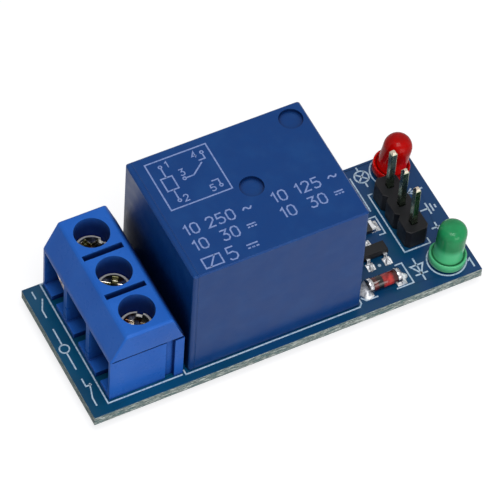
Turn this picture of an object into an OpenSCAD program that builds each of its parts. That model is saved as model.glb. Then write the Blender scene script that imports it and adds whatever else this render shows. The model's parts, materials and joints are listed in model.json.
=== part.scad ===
// Single-channel relay module board: a small circuit board that carries a sealed
// changeover relay, a three-pole screw terminal block, a three-pin header, two
// indicator lamps, a glass diode, a transistor and three chip resistors.
//
// Frame: +X runs from the screw terminals to the pin header, +Z is up. The origin is
// under the middle of the board, at the level of the trimmed pin ends it stands on.
// Drawn with the relay released and the terminal screws driven home.

/* [Board] */
// Length of the circuit board
board_l = 43.2; // [42.8:0.1:46]
// Width of the circuit board
board_w = 17.0; // [16.8:0.1:19]
// Thickness of the laminate
board_t = 1.2; // [0.8:0.1:1.6]
// Length of the trimmed pin ends under the board
pin_stub = 1.6; // [1.4:0.1:2.4]
// Gap between the corners of a pin and its plated hole
hole_gap = 0.12; // [0.08:0.01:0.2]
// Width of the solder foot around a hole
solder_foot = 0.3; // [0.2:0.05:0.3]
// Height of a solder cone under the board
solder_h = 1.0; // [0.6:0.1:1.3]
// Play between pieces that are pushed together
fit = 0.02; // [0.01:0.01:0.04]

/* [Terminal housing] */
// Sideways offset of the terminal block from the middle of the board
term_y = 0.5; // [0:0.02:0.6]
// Distance from one pole to the next
term_pitch = 5.08; // [5.0:0.02:5.12]
// Depth of the housing from the wire entries to the back
term_d = 8.0; // [7.8:0.1:8.4]
// Height of the housing
term_h = 9.7; // [9.5:0.1:10.4]
// Height at which the upright faces turn into slopes
term_shoulder = 6.4; // [6.2:0.1:7.0]
// Set-back of the flat top from the front
slope_front = 1.6; // [1.2:0.1:1.9]
// Set-back of the flat top from the back
slope_back = 1.3; // [0.9:0.1:1.6]
// Thickness of the walls between the poles
divider_t = 0.75; // [0.6:0.05:0.9]
// Thickness of the end walls beside the wire entries
end_wall_t = 0.5; // [0.35:0.05:0.7]
// Thickness of the back wall
back_wall_t = 0.8; // [0.6:0.05:0.9]
// Thickness of the floor under the wire entries
floor_t = 0.7; // [0.5:0.05:0.8]
// Thickness of the lip over the wire entries
lip_t = 0.45; // [0.35:0.05:0.5]
// Width of the notch in the floor of each wire entry
notch_w = 1.0; // [0.6:0.1:1.4]
// Depth of the notch in the floor
notch_d = 2.6; // [1.6:0.1:2.8]
// Amount by which the lower end face lies behind the gable
end_step = 0.12; // [0.06:0.02:0.2]
// Width of the keyway in the end face
keyway_w = 0.9; // [0.6:0.1:1.1]
// Depth of the keyway in the end face
keyway_d = 0.45; // [0.3:0.05:0.5]
// Width of the rib behind the keyway
key_rib_w = 1.0; // [0.8:0.1:1.2]
// Width of the slots in the top between the screws
top_slot_w = 0.62; // [0.4:0.02:0.7]
// Length of the slots in the top
top_slot_l = 4.3; // [3.6:0.1:4.6]
// Depth of the slots in the top
top_slot_d = 2.0; // [1.0:0.1:2.4]

/* [Terminal metalwork] */
// Distance from the wire-entry face to the screw axes
screw_set = 4.0; // [3.9:0.05:4.2]
// Radius of the screw holes in the housing
screw_hole_r = 1.82; // [1.8:0.01:1.9]
// Radial gap round the screw head
head_gap = 0.08; // [0.05:0.01:0.1]
// Height of the screw head
head_h = 1.15; // [1.0:0.05:1.2]
// Radius of the screw shank
shank_r = 1.25; // [1.2:0.05:1.4]
// Radial running gap of the shank in its thread
thread_gap = 0.05; // [0.03:0.01:0.08]
// Width of the driver slot
drive_w = 0.62; // [0.4:0.02:0.8]
// Depth of the driver slot
drive_d = 0.6; // [0.4:0.05:0.8]
// Radius of the neck that the pressure plate turns on
neck_r = 0.6; // [0.5:0.05:0.7]
// Height of the riveted end under the pressure plate
rivet_h = 0.2; // [0.15:0.05:0.3]
// Thickness of the terminal frame strip
frame_t = 0.7; // [0.6:0.05:0.8]
// Gap between the terminal frame and the side walls of its bay
frame_side_gap = 0.2; // [0.1:0.05:0.3]
// Distance from the wire-entry face to the frame's upper flange
frame_front = 0.5; // [0.45:0.05:1.0]
// Distance from the wire-entry face to the frame's lower flange
frame_foot = 3.2; // [3.0:0.05:3.4]
// Width of the solder pin of a terminal frame
term_pin_w = 1.0; // [0.8:0.05:1.1]
// Thickness of the pressure plate
plate_t = 0.5; // [0.4:0.05:0.6]
// Width of the pressure plate
plate_w = 3.5; // [3.2:0.1:3.6]
// Length of the pressure plate along the wire
plate_l = 2.2; // [2.0:0.1:2.4]
// How far the pressure plate's long rims are turned up
plate_rim = 0.35; // [0.2:0.05:0.5]
// Free height over the seat when a screw is home
seat_gap = 0.06; // [0.04:0.02:0.12]
// Angles at which the three screws came to rest
screw_angles = [20, -35, 50]; // [-90:5:90]

/* [Relay housing] */
// Distance from the back of the terminal block to the relay
relay_gap = 0.55; // [0.5:0.05:0.9]
// Sideways offset of the relay from the middle of the board
relay_y = 0.3; // [0:0.05:0.5]
// Length of the relay cover at its foot
relay_l = 19.1; // [18.9:0.05:19.3]
// Width of the relay cover at its foot
relay_w = 15.3; // [15.0:0.05:15.5]
// Height of the relay over the board
relay_h = 15.5; // [15.4:0.1:16.2]
// Inward lean of each side over the full height
relay_draft = 0.04; // [0:0.02:0.16]
// Radius of the upright corners
relay_corner = 0.3; // [0.3:0.05:0.8]
// Thickness of the cover's side walls
cover_wall = 0.85; // [0.6:0.05:0.9]
// Thickness of the cover's top
cover_top = 0.95; // [0.7:0.05:1.0]
// Width of the rounded edge round the top
cover_edge = 0.15; // [0.1:0.05:0.4]
// Radius of the round marks in the top
mark_r = 1.25; // [1.0:0.05:1.6]
// Depth of the round marks
mark_d = 0.34; // [0.08:0.02:0.4]
// Distance of the vent mark from the sides of the cover
vent_inset = 1.8; // [1.6:0.1:2.2]
// Offset of the gate mark from the relay's middle
gate_x = 0.5; // [0:0.1:1]
// Height of the feet under the base
base_foot_h = 0.3; // [0.2:0.05:0.5]
// Radius of the feet under the base
base_foot_r = 0.6; // [0.4:0.05:0.8]
// Thickness of the base
base_t = 1.9; // [1.6:0.1:2.0]
// Gap between the base and the cover
base_gap = 0.05; // [0.03:0.01:0.1]

/* [Relay magnet] */
// Gap between the bobbin and the upright leg of the yoke
coil_gap = 0.4; // [0.2:0.05:0.6]
// Radius of the iron core
core_r = 1.6; // [1.3:0.1:1.8]
// Radius of the pole head
pole_r = 3.0; // [2.6:0.1:3.4]
// Height of the pole head
pole_h = 0.8; // [0.6:0.05:0.9]
// Wall of the bobbin tube
bobbin_wall = 0.45; // [0.35:0.05:0.6]
// Radius of the bobbin flanges
flange_r = 4.3; // [4.2:0.05:4.4]
// Thickness of the bobbin flanges
flange_t = 0.7; // [0.5:0.05:0.8]
// Depth by which the winding lies below the flanges
winding_low = 0.25; // [0.1:0.05:0.5]
// Free height over the upper contact strip
top_room = 0.5; // [0.4:0.05:0.8]
// Thickness of the yoke
yoke_t = 1.0; // [0.8:0.05:1.1]
// Width of the yoke
yoke_w = 8.0; // [7.0:0.1:8.6]
// Gap between the back of the yoke and the cover, where the spring's tail moves
yoke_room = 0.72; // [0.66:0.02:0.8]
// Distance by which the lower leg passes the core
yoke_reach = 3.4; // [2.6:0.1:4.0]
// Thickness of the armature
armature_t = 0.9; // [0.7:0.05:0.95]
// Distance by which the armature passes the core
armature_reach = 3.6; // [3.0:0.1:4.0]
// Gap between the attracted armature and the pole
pole_air = 0.05; // [0.04:0.01:0.1]
// Angle by which the released armature stands off the pole
armature_throw = 3.2; // [2.6:0.1:3.3]

/* [Relay contacts] */
// Distance from the inside of the cover to the contacts
contact_room = 2.2; // [2.0:0.1:2.4]
// Radius of the contact buttons
contact_r = 1.1; // [0.9:0.05:1.2]
// Height of a contact button
contact_h = 0.4; // [0.3:0.05:0.4]
// Gap left between closed contacts
contact_air = 0.04; // [0.03:0.01:0.08]
// Thickness of the contact spring
leaf_t = 0.2; // [0.15:0.01:0.22]
// Width of the contact spring
leaf_w = 3.4; // [2.8:0.1:4.0]
// Length of the spring's tail behind the yoke
leaf_tail = 3.5; // [2.5:0.1:3.6]
// Thickness of the fixed contact strips
strip_t = 0.4; // [0.3:0.05:0.4]
// Width of the fixed contact strips
strip_w = 2.4; // [2.0:0.1:2.6]
// Distance from the inside of the cover to the switched pins
switched_pin_room = 1.77; // [1.7:0.01:1.9]
// Distance from the common pin to the row of coil pins
coil_pin_step = 2.0; // [1.8:0.05:2.1]
// Distance from the inside of the cover to the outer pins
outer_pin_room = 0.8; // [0.7:0.02:0.9]
// Width of the relay's pins
relay_pin_w = 0.8; // [0.6:0.05:0.9]

/* [Pin header] */
// Distance from the end of the board to the row of pins
header_inset = 4.65; // [4.5:0.05:5.0]
// Distance from the back of the relay to the row of pins
relay_header_gap = 8.7; // [8.3:0.1:9.6]
// Sideways offset of the middle pin
header_y = 0.62; // [0.3:0.02:0.8]
// Distance from one header pin to the next
header_pitch = 2.54; // [2.5:0.01:2.6]
// Width of a header pin
header_pin_w = 0.64; // [0.55:0.01:0.7]
// Height of the header pins over the board
header_pin_h = 8.1; // [7.5:0.1:9]
// Height of the black insulator
insulator_h = 2.54; // [2.2:0.02:3]
// Width of the insulator
insulator_w = 2.5; // [2.3:0.05:2.6]
// Size of the corner cuts between the insulator's cells
insulator_notch = 0.42; // [0.2:0.02:0.5]

/* [Indicator lamps] */
// Distance from the end of the board to both lamps
lamp_inset = 2.75; // [2.6:0.05:2.9]
// Distance from the board's edge to the red lamp
red_edge = 2.06; // [2.06:0.02:2.4]
// Distance from the board's edge to the green lamp
green_edge = 2.55; // [2.2:0.05:2.7]
// Radius of the lens
lens_r = 1.5; // [1.45:0.05:1.55]
// Radius of the rim at the foot of the lens
rim_r = 1.95; // [1.8:0.05:2.0]
// Height of the rim
rim_h = 0.95; // [0.8:0.05:1.2]
// Height of the whole lens
lens_h = 5.3; // [5.0:0.1:6]
// Distance between the two legs of a lamp
lamp_leg_gap = 2.54; // [2.4:0.02:2.6]
// Thickness of a lamp's legs
lamp_leg_w = 0.45; // [0.4:0.05:0.5]
// Height at which the legs widen inside the lens
leg_step_z = 0.6; // [0.5:0.05:0.8]
// Height of the wide part of a leg
leg_step_h = 0.5; // [0.3:0.05:0.6]
// Width of the anvil that carries the light source
anvil_w = 0.85; // [0.7:0.05:0.9]
// Height of the anvil over the wide part
anvil_h = 2.4; // [2.0:0.1:2.6]
// Gap between the anvil and the post beside it
post_gap = 0.4; // [0.3:0.05:0.5]
// Width of the post
post_w = 0.35; // [0.3:0.05:0.5]
// Distance of the flat on the rim from the rim's round edge
rim_flat = 0.3; // [0.2:0.05:0.4]
// Gap between a lamp and the board
lamp_gap = 0.05; // [0.02:0.01:0.2]
// Lean of the red lamp towards the end of the board
red_lean = 6; // [0:1:10]
// Lean of the red lamp towards the green one
red_side_lean = 5; // [0:1:6]
// Lean of the green lamp towards the end of the board
green_lean = 4; // [0:1:8]

/* [Chips and diode] */
// Distance from the relay to the middle of the diode
diode_from_relay = 3.25; // [3.15:0.05:3.6]
// Distance from the board's edge to the diode
diode_edge = 2.4; // [2.2:0.05:2.5]
// Length of the diode with its caps
diode_l = 3.6; // [3.4:0.05:3.7]
// Radius of the glass
glass_r = 0.68; // [0.6:0.02:0.74]
// Wall of the glass tube
glass_wall = 0.22; // [0.16:0.02:0.3]
// Radius of the diode's end caps
cap_r = 0.78; // [0.75:0.01:0.85]
// Length of an end cap
cap_l = 0.45; // [0.35:0.05:0.55]
// Distance from the relay to the middle of the transistor
transistor_from_relay = 4.1; // [3.9:0.05:4.3]
// Distance from the diode to the middle of the transistor
transistor_from_diode = 3.8; // [3.7:0.05:4.0]
// Length of the transistor's body
transistor_l = 2.9; // [2.8:0.05:3.0]
// Width of the transistor's body
transistor_w = 1.3; // [1.2:0.05:1.4]
// Height of the transistor
transistor_h = 1.05; // [0.9:0.05:1.2]
// Reach of the transistor's legs beyond the body
leg_reach = 0.55; // [0.45:0.05:0.65]
// Width of a leg
leg_w = 0.42; // [0.35:0.01:0.5]
// Distance between the two front legs
leg_pitch = 1.9; // [1.8:0.05:2.0]
// Distance from the relay to the middle of the resistors
resistor_from_relay = 4.7; // [4.4:0.05:4.9]
// Sideways position of the first resistor
resistor_y = 0.72; // [0.6:0.02:0.9]
// Distance from one resistor to the next
resistor_pitch = 2.6; // [2.4:0.05:2.8]
// Length of a chip resistor
resistor_l = 2.0; // [1.9:0.05:2.1]
// Width of a chip resistor
resistor_w = 1.25; // [1.1:0.05:1.3]
// Thickness of a chip resistor
resistor_t = 0.55; // [0.4:0.05:0.6]
// Length of a resistor's plated end
resistor_end = 0.38; // [0.3:0.02:0.45]
// Thickness of the tinned pads
pad_t = 0.05; // [0.03:0.01:0.08]
// Length of the solder beyond a chip's end
pad_run = 0.6; // [0.45:0.05:0.65]

/* [Hidden] */
$fn = 48;
poles = [1, 0, -1];                       // pole 1 lies on the +Y side
sides = [-1, 1];
eps = 0.01;                               // overshoot of a cut beyond the face it opens
board_top = pin_stub + board_t;

// Everything is set out from the lamp end of the board; the free strip in front of the
// wire entries takes up what is left
header_x = board_l / 2 - header_inset;
lamp_x = board_l / 2 - lamp_inset;
relay_back = header_x - relay_header_gap;
relay_front = relay_back - relay_l;

// Terminal block
term_back = relay_front - relay_gap;
term_front = term_back - term_d;
bay_w = term_pitch - divider_t;
term_w = 3 * bay_w + 2 * divider_t + 2 * end_wall_t;
bay_top = term_shoulder - lip_t;
bay_rear_w = bay_w - 2 * keyway_d;        // the bays narrow where the keyway runs
bay_rear = term_d - key_rib_w - keyway_w - frame_side_gap;
frame_w = bay_w - 2 * frame_side_gap;
frame_rear_w = bay_rear_w - 2 * frame_side_gap;
frame_back = term_d - back_wall_t - frame_side_gap;
frame_seat = floor_t + frame_t;           // top of the lower flange, where a wire lies
frame_under = bay_top - frame_t;          // underside of the upper flange
frame_skew = [0.4, 0.2, 0.2];            // the three frames sit a little differently
guard_drop = [0.45, 0.32, 0.25];
head_r = screw_hole_r - head_gap;
head_z = bay_top + seat_gap;              // underside of a screw's head when home
plate_z = frame_seat + seat_gap + rivet_h;

// Relay, in a frame of its own: origin on the board under its middle, +X to the hinge
relay_x = (relay_front + relay_back) / 2;
base_top = base_foot_h + base_t;
cover_in_l = relay_l - 2 * cover_wall;
cover_in_w = relay_w - 2 * cover_wall;
yoke_back = cover_in_l / 2 - yoke_room;
common_pin_x = yoke_back - yoke_t / 2;
coil_pin_x = common_pin_x - coil_pin_step;
switched_pin_x = cover_in_l / 2 - switched_pin_room;
outer_pin_y = cover_in_w / 2 - outer_pin_room;
contact_x = cover_in_l / 2 - contact_room;
coil_x = yoke_back - yoke_t - coil_gap - flange_r;
base_l = cover_in_l - 2 * base_gap;
base_w = cover_in_w - 2 * base_gap;
bobbin_z = base_top + yoke_t;
armature_tip = coil_x - armature_reach;
// The contacts are stacked down from the top of the cover, and the bobbin fills the rest.
// The attracted armature lies level at armature_z.
contact_lift = (yoke_back + contact_x + contact_r) * sin(armature_throw);
closed_button_z = relay_h - cover_top - top_room - strip_t - contact_h;
leaf_z = closed_button_z - contact_air - contact_lift - contact_h - leaf_t;
open_button_top = leaf_z - contact_h - contact_air;
armature_z = leaf_z - armature_t;
pole_top = armature_z - pole_air;
bobbin_h = pole_top - pole_h - bobbin_z;
stake_r = 0.6;                            // the armature's riveted studs
rivet_shank_r = 0.5;                      // the shank of each contact button
relay_pin_t = strip_t;

// Lamps
red_y = board_w / 2 - red_edge;
green_y = -board_w / 2 + green_edge;

// Chips
diode_x = relay_back + diode_from_relay;
diode_y = -board_w / 2 + diode_edge;
diode_z = pad_t + cap_r;
transistor_x = relay_back + transistor_from_relay;
transistor_y = diode_y + transistor_from_diode;
resistor_x = relay_back + resistor_from_relay;

// Every pin that goes through the board: [x, y, width along X, width along Y]
term_pins = [for (p = poles)
    [term_front + screw_set, term_y + p * term_pitch, frame_t, term_pin_w]];
relay_pins = [
    [relay_x + common_pin_x, relay_y, relay_pin_t, relay_pin_w],
    for (s = sides) [relay_x + coil_pin_x, relay_y + s * outer_pin_y, relay_pin_t, relay_pin_t],
    for (s = sides) [relay_x - switched_pin_x, relay_y + s * outer_pin_y, relay_pin_w, relay_pin_t]];
header_pin_list = [for (p = poles)
    [header_x, header_y + p * header_pitch, header_pin_w, header_pin_w]];
lamp_pins = [for (y = [red_y, green_y], s = sides)
    [lamp_x, y + s * lamp_leg_gap / 2, lamp_leg_w, lamp_leg_w]];
all_pins = concat(term_pins, relay_pins, header_pin_list, lamp_pins);
function hole_r(pin) = norm([pin[2], pin[3]]) / 2 + hole_gap;

// ---- helpers -------------------------------------------------------------------

// A box that stands on z = 0, centred in X and Y
module block(x, y, z) translate([-x / 2, -y / 2, 0]) cube([x, y, z]);

// A box from one corner to the other
module span(from, to) translate(from) cube(to - from);

// A profile in X and Z, extruded to the given width and centred in Y
module across(width) translate([0, width / 2, 0]) rotate([90, 0, 0]) linear_extrude(width) children();

// A profile in Y and Z, extruded to the given width and centred in X
module along(width)
    translate([-width / 2, 0, 0]) rotate([90, 0, 90]) linear_extrude(width) children();

module on_board(x, y) translate([x, y, board_top]) children();

// From the relay's underside down to the trimmed end of a pin
module pin_end(w, d, top = 0) translate([0, 0, -board_top]) block(w, d, board_top + top);

// A hexahedron with rounded upright corners that leans inwards by `lean` over its height
module leaning_box(l, w, z0, z1, lean, corner) {
    hull() for (sx = sides, sy = sides) {
        translate([sx * (l / 2 - corner), sy * (w / 2 - corner), z0])
            cylinder(r = corner, h = eps, $fn = 24);
        translate([sx * (l / 2 - lean - corner), sy * (w / 2 - lean - corner), z1 - eps])
            cylinder(r = corner, h = eps, $fn = 24);
    }
}

// ---- board ---------------------------------------------------------------------

module circuit_board() {
    color("#0a4a70") difference() {
        translate([0, 0, pin_stub]) block(board_l, board_w, board_t);
        for (pin = all_pins) translate([pin[0], pin[1], pin_stub - eps])
            cylinder(r = hole_r(pin), h = board_t + 2 * eps);
    }
}

// Solder fills each plated hole and rises to a hollow cone round the pin under the board
module solder_joint(pin) {
    r = hole_r(pin);
    foot = r + solder_foot;
    tip = norm([pin[2], pin[3]]) / 2 + hole_gap / 2;
    difference() {
        union() {
            translate([0, 0, pin_stub - eps]) cylinder(r = r, h = board_t + eps);
            translate([0, 0, pin_stub]) rotate_extrude() polygon([
                [0, 0], [foot, 0], [foot - 0.1, -0.12 * solder_h],
                [(foot + tip) / 2 - 0.08, -0.42 * solder_h], [tip, -solder_h], [0, -solder_h]]);
        }
        translate([0, 0, -eps]) block(pin[2], pin[3], board_top + 2 * eps);
    }
}

module through_hole_solder() {
    color("#c9ccd1") for (pin = all_pins) translate([pin[0], pin[1], 0]) solder_joint(pin);
}

// A tinned pad whose solder climbs the end of a chip: it runs towards +X from x = 0
module pad_fillet(w, under, rise) {
    across(w) polygon([[-under, 0], [pad_run, 0], [pad_run, pad_t], [0.45 * pad_run, pad_t + 0.3 * rise],
        [0.12 * pad_run, pad_t + 0.75 * rise], [0, pad_t + rise], [0, pad_t], [-under, pad_t]]);
}

module surface_solder() {
    color("#d8dadd") {
        on_board(diode_x, diode_y) for (s = sides) scale([s, 1, 1])
            translate([diode_l / 2, 0, 0]) pad_fillet(2 * cap_r + 0.1, cap_l, cap_r);
        on_board(transistor_x, transistor_y) {
            for (s = sides) translate([s * leg_pitch / 2, -transistor_w / 2 - leg_reach, 0])
                rotate([0, 0, -90]) pad_fillet(2 * leg_w, 0.6 * leg_reach, 0.15);
            translate([0, transistor_w / 2 + leg_reach, 0])
                rotate([0, 0, 90]) pad_fillet(2 * leg_w, 0.6 * leg_reach, 0.15);
        }
        for (i = [0:2], s = sides)
            on_board(resistor_x + s * resistor_l / 2, resistor_y + i * resistor_pitch)
                scale([s, 1, 1]) pad_fillet(resistor_w, resistor_end, 0.7 * resistor_t);
    }
}

// ---- terminal block ------------------------------------------------------------

// Depth is measured from the wire entries towards +X
module in_terminal(p) on_board(term_front, term_y + p * term_pitch) children();

module housing_profile() polygon([[0, 0], [0, term_shoulder], [slope_front, term_h],
    [term_d - slope_back, term_h], [term_d, term_shoulder], [term_d, 0]]);

// One pole's room: wide at the wire entry, narrow behind, with the screw's well over it
module bay() {
    span([-eps, -bay_w / 2, floor_t], [bay_rear, bay_w / 2, bay_top]);
    span([bay_rear - eps, -bay_rear_w / 2, floor_t], [term_d - back_wall_t, bay_rear_w / 2, bay_top]);
    span([-eps, -notch_w / 2, -eps], [notch_d, notch_w / 2, floor_t + eps]);
    span([screw_set - frame_t / 2 - fit, -term_pin_w / 2 - fit, -eps],
        [screw_set + frame_t / 2 + fit, term_pin_w / 2 + fit, floor_t + eps]);
    translate([screw_set, 0, bay_top - eps]) cylinder(r = screw_hole_r, h = term_h);
}

// The end faces stand back under the gables, apart from the key rib at the back
module end_relief() {
    lower = term_shoulder - 0.05;
    rib = term_d - key_rib_w;
    span([-eps, -eps, -eps], [rib, end_step, lower]);
    span([rib - keyway_w, -eps, -eps], [rib, keyway_d, lower]);
}

module terminal_housing() {
    color("#2f62b5") on_board(term_front, term_y) difference() {
        across(term_w) housing_profile();
        for (p = poles) translate([0, p * term_pitch, 0]) bay();
        for (p = [-0.5, 0.5]) translate([screw_set, p * term_pitch, term_h - top_slot_d])
            block(top_slot_l, top_slot_w, top_slot_d + eps);
        translate([0, -term_w / 2, 0]) end_relief();
        translate([0, term_w / 2, 0]) mirror([0, 1, 0]) end_relief();
    }
}

// A strip bent into a C that opens to the wire entry. Its upper flange is tapped for the
// screw, the wire lies on the lower one, and a pin under the screw goes into the board.
// `skew` brings one front corner forward, and `drop` is how far the guard tab hangs there.
module terminal_frame(skew, drop) {
    half = frame_w / 2;
    tab_t = frame_t / 2;
    color("#d9cfc4") difference() {
        union() {
            translate([0, 0, frame_under]) linear_extrude(frame_t) polygon([
                [frame_front, half], [frame_front - skew, -half],
                [bay_rear - fit, -half], [bay_rear - fit, half]]);
            span([bay_rear - 2 * fit, -frame_rear_w / 2, frame_under],
                [frame_back, frame_rear_w / 2, bay_top]);
            span([frame_foot, -half, floor_t], [bay_rear - fit, half, frame_seat]);
            span([bay_rear - 2 * fit, -frame_rear_w / 2, floor_t],
                [frame_back, frame_rear_w / 2, frame_seat]);
            span([frame_back - frame_t, -frame_rear_w / 2, floor_t],
                [frame_back, frame_rear_w / 2, bay_top]);
            intersection() {
                translate([0, 0, frame_under - drop]) linear_extrude(drop + frame_t) polygon([
                    [frame_front, half], [frame_front - skew, -half],
                    [frame_front - skew + tab_t, -half], [frame_front + tab_t, half]]);
                along(2 * term_d) polygon([[-half, frame_under - drop], [half, frame_under],
                    [half, bay_top], [-half, bay_top]]);
            }
            translate([screw_set, 0, 0]) pin_end(frame_t, term_pin_w, floor_t + eps);
        }
        translate([screw_set, 0, frame_under - eps])
            cylinder(r = shank_r + thread_gap, h = frame_t + 2 * eps);
    }
}

// The plate under the screw's tip that spreads its force over the wire
module pressure_plate() {
    rim_t = plate_t / 2;
    color("#c8ccd0") translate([screw_set, 0, plate_z]) difference() {
        union() {
            block(plate_l, plate_w, plate_t);
            for (s = sides) translate([0, s * (plate_w - rim_t) / 2, 0])
                block(plate_l, rim_t, plate_t + plate_rim);
        }
        translate([0, 0, -eps]) cylinder(r = neck_r + thread_gap, h = plate_t + 2 * eps);
    }
}

// Slotted cross head, shank, and a neck riveted over under the pressure plate
module terminal_screw(turn) {
    neck_z = plate_z - rivet_h;
    shank_z = plate_z + plate_t + fit;
    color("#b9bcc0") translate([screw_set, 0, 0]) difference() {
        rotate_extrude() polygon([
            [0, neck_z], [neck_r + 0.2, neck_z], [neck_r + 0.2, plate_z - fit], [neck_r, plate_z - fit],
            [neck_r, shank_z], [shank_r - 0.2, shank_z], [shank_r, shank_z + 0.2], [shank_r, head_z],
            [head_r, head_z], [head_r, head_z + head_h - 0.2], [head_r - 0.3, head_z + head_h],
            [0, head_z + head_h]]);
        rotate([0, 0, turn]) translate([0, 0, head_z + head_h - drive_d]) {
            block(2 * screw_hole_r, drive_w, head_h);
            block(drive_w, 1.3 * head_r, head_h);
        }
    }
}

// ---- relay ---------------------------------------------------------------------

module in_relay() on_board(relay_x, relay_y) children();

// Turns the moving pieces from the attracted, level position to the released one
module released() translate([yoke_back, 0, pole_top]) rotate([0, armature_throw, 0])
    translate([-yoke_back, 0, -pole_top]) children();

module relay_cover() {
    foot = base_foot_h / 2;
    shoulder = relay_h - cover_edge;
    color("#2a4f92") in_relay() difference() {
        union() {
            leaning_box(relay_l, relay_w, foot, shoulder, relay_draft, relay_corner);
            leaning_box(relay_l - 2 * relay_draft, relay_w - 2 * relay_draft, shoulder - eps, relay_h,
                cover_edge, relay_corner);
        }
        leaning_box(cover_in_l, cover_in_w, foot - eps, relay_h - cover_top, relay_draft, 0.1);
        // A vent mark in one corner and the moulding gate in the middle
        for (at = [[relay_l / 2 - vent_inset, relay_w / 2 - vent_inset], [gate_x, 0]])
            translate([at[0], at[1], relay_h - mark_d]) cylinder(r = mark_r, h = 2 * mark_d);
    }
}

module relay_base() {
    color("#23344f") in_relay() difference() {
        union() {
            translate([0, 0, base_foot_h]) block(base_l, base_w, base_t);
            for (sx = sides, sy = sides) translate([
                sx * (base_l / 2 - 2 * base_foot_r), sy * (base_w / 2 - 4 * base_foot_r), 0])
                    cylinder(r = base_foot_r, h = base_foot_h + eps);
        }
        for (pin = relay_pins) translate([pin[0] - relay_x, pin[1] - relay_y, 0])
            block(pin[2] + 2 * fit, pin[3] + 2 * fit, base_top + eps);
    }
}

// Spool with two ears on its lower flange that hold the coil pins
module coil_bobbin() {
    tube_r = core_r + fit + bobbin_wall;
    color("#e6e2d6") in_relay() difference() {
        translate([coil_x, 0, bobbin_z]) {
            cylinder(r = tube_r, h = bobbin_h);
            cylinder(r = flange_r, h = flange_t);
            translate([0, 0, bobbin_h - flange_t]) cylinder(r = flange_r, h = flange_t);
            translate([coil_pin_x - coil_x, 0, 0]) block(3 * relay_pin_t, 2 * outer_pin_y + 0.9, flange_t);
        }
        translate([coil_x, 0, bobbin_z - eps]) cylinder(r = core_r + fit, h = bobbin_h + 2 * eps);
        for (s = sides) translate([coil_pin_x, s * outer_pin_y, bobbin_z - eps])
            block(relay_pin_t + 2 * fit, relay_pin_t + 2 * fit, flange_t + 2 * eps);
    }
}

module coil_winding() {
    color("#b5652a") in_relay() translate([coil_x, 0, bobbin_z + flange_t + fit]) difference() {
        height = bobbin_h - 2 * flange_t - 2 * fit;
        cylinder(r = flange_r - winding_low, h = height);
        translate([0, 0, -eps]) cylinder(r = core_r + 2 * fit + bobbin_wall, h = height + 2 * eps);
    }
}

module iron_core() {
    color("#9a9da1") in_relay() translate([coil_x, 0, 0]) {
        translate([0, 0, base_top + fit]) cylinder(r = core_r, h = pole_top - base_top - fit);
        translate([0, 0, pole_top - pole_h + fit]) cylinder(r = pole_r, h = pole_h - fit);
    }
}

module yoke() {
    color("#8f9296") in_relay() difference() {
        union() {
            span([coil_x - yoke_reach, -yoke_w / 2, base_top], [yoke_back, yoke_w / 2, base_top + yoke_t]);
            span([yoke_back - yoke_t, -yoke_w / 2, base_top], [yoke_back, yoke_w / 2, pole_top]);
        }
        translate([coil_x, 0, base_top - eps]) cylinder(r = core_r + fit, h = yoke_t + 2 * eps);
        // A window lets the tail of the bobbin's ear bar pass the upright leg
        span([yoke_back - yoke_t - eps, -yoke_w / 2 - eps, bobbin_z - fit],
            [coil_pin_x + 1.5 * relay_pin_t + fit, yoke_w / 2 + eps, bobbin_z + flange_t + fit]);
    }
}

module armature() {
    color("#8a8d91") in_relay() released() {
        span([armature_tip, -yoke_w / 2, armature_z], [yoke_back - 0.05, yoke_w / 2, leaf_z]);
        for (s = sides) translate([coil_x, s * leaf_w / 4, leaf_z - eps])
            cylinder(r = stake_r, h = leaf_t + 0.2);
    }
}

// The leaf is staked to the armature, carries the moving contact and bends down behind
// the yoke
module contact_spring() {
    tip = -contact_x - contact_r - 0.1;
    bend = yoke_back + 0.05;
    color("#c98f4a") in_relay() {
        released() difference() {
            span([tip, -leaf_w / 2, leaf_z], [bend + leaf_t - 0.06, leaf_w / 2, leaf_z + leaf_t]);
            for (s = sides) translate([coil_x, s * leaf_w / 4, leaf_z - eps])
                cylinder(r = stake_r + fit, h = leaf_t + 2 * eps);
            translate([-contact_x, 0, leaf_z - eps])
                cylinder(r = rivet_shank_r + fit, h = leaf_t + 2 * eps);
        }
        span([bend, -leaf_w / 2, pole_top - leaf_tail], [bend + leaf_t, leaf_w / 2, leaf_z + leaf_t / 2]);
    }
}

// A silver button on both faces of the leaf
module moving_contact() {
    color("#d4d6d9") in_relay() released() translate([-contact_x, 0, leaf_z]) {
        translate([0, 0, -contact_h]) cylinder(r = contact_r, h = contact_h);
        translate([0, 0, -eps]) cylinder(r = rivet_shank_r, h = leaf_t + 2 * eps);
        translate([0, 0, leaf_t]) cylinder(r = contact_r, h = contact_h);
    }
}

// A strip that rises beside the magnet and turns in over the middle at height z
module contact_strip(side, z) {
    y = side * outer_pin_y;
    color("#c79b5a") in_relay() difference() {
        union() {
            translate([-switched_pin_x, y, 0]) pin_end(relay_pin_w, strip_t, base_top + eps);
            translate([-switched_pin_x, y, base_top]) block(strip_w - 0.6, strip_t, z - base_top + strip_t);
            span([-switched_pin_x - strip_w / 2 + 0.3, min(y - strip_t / 2, -side * contact_r), z],
                [-switched_pin_x + strip_w / 2 + 0.3, max(y + strip_t / 2, -side * contact_r), z + strip_t]);
        }
        translate([-contact_x, 0, z - eps]) cylinder(r = rivet_shank_r + fit, h = strip_t + 2 * eps);
    }
}

module open_contact_strip() contact_strip(-1, open_button_top - contact_h - strip_t);

module closed_contact_strip() contact_strip(1, closed_button_z + contact_h);

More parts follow.
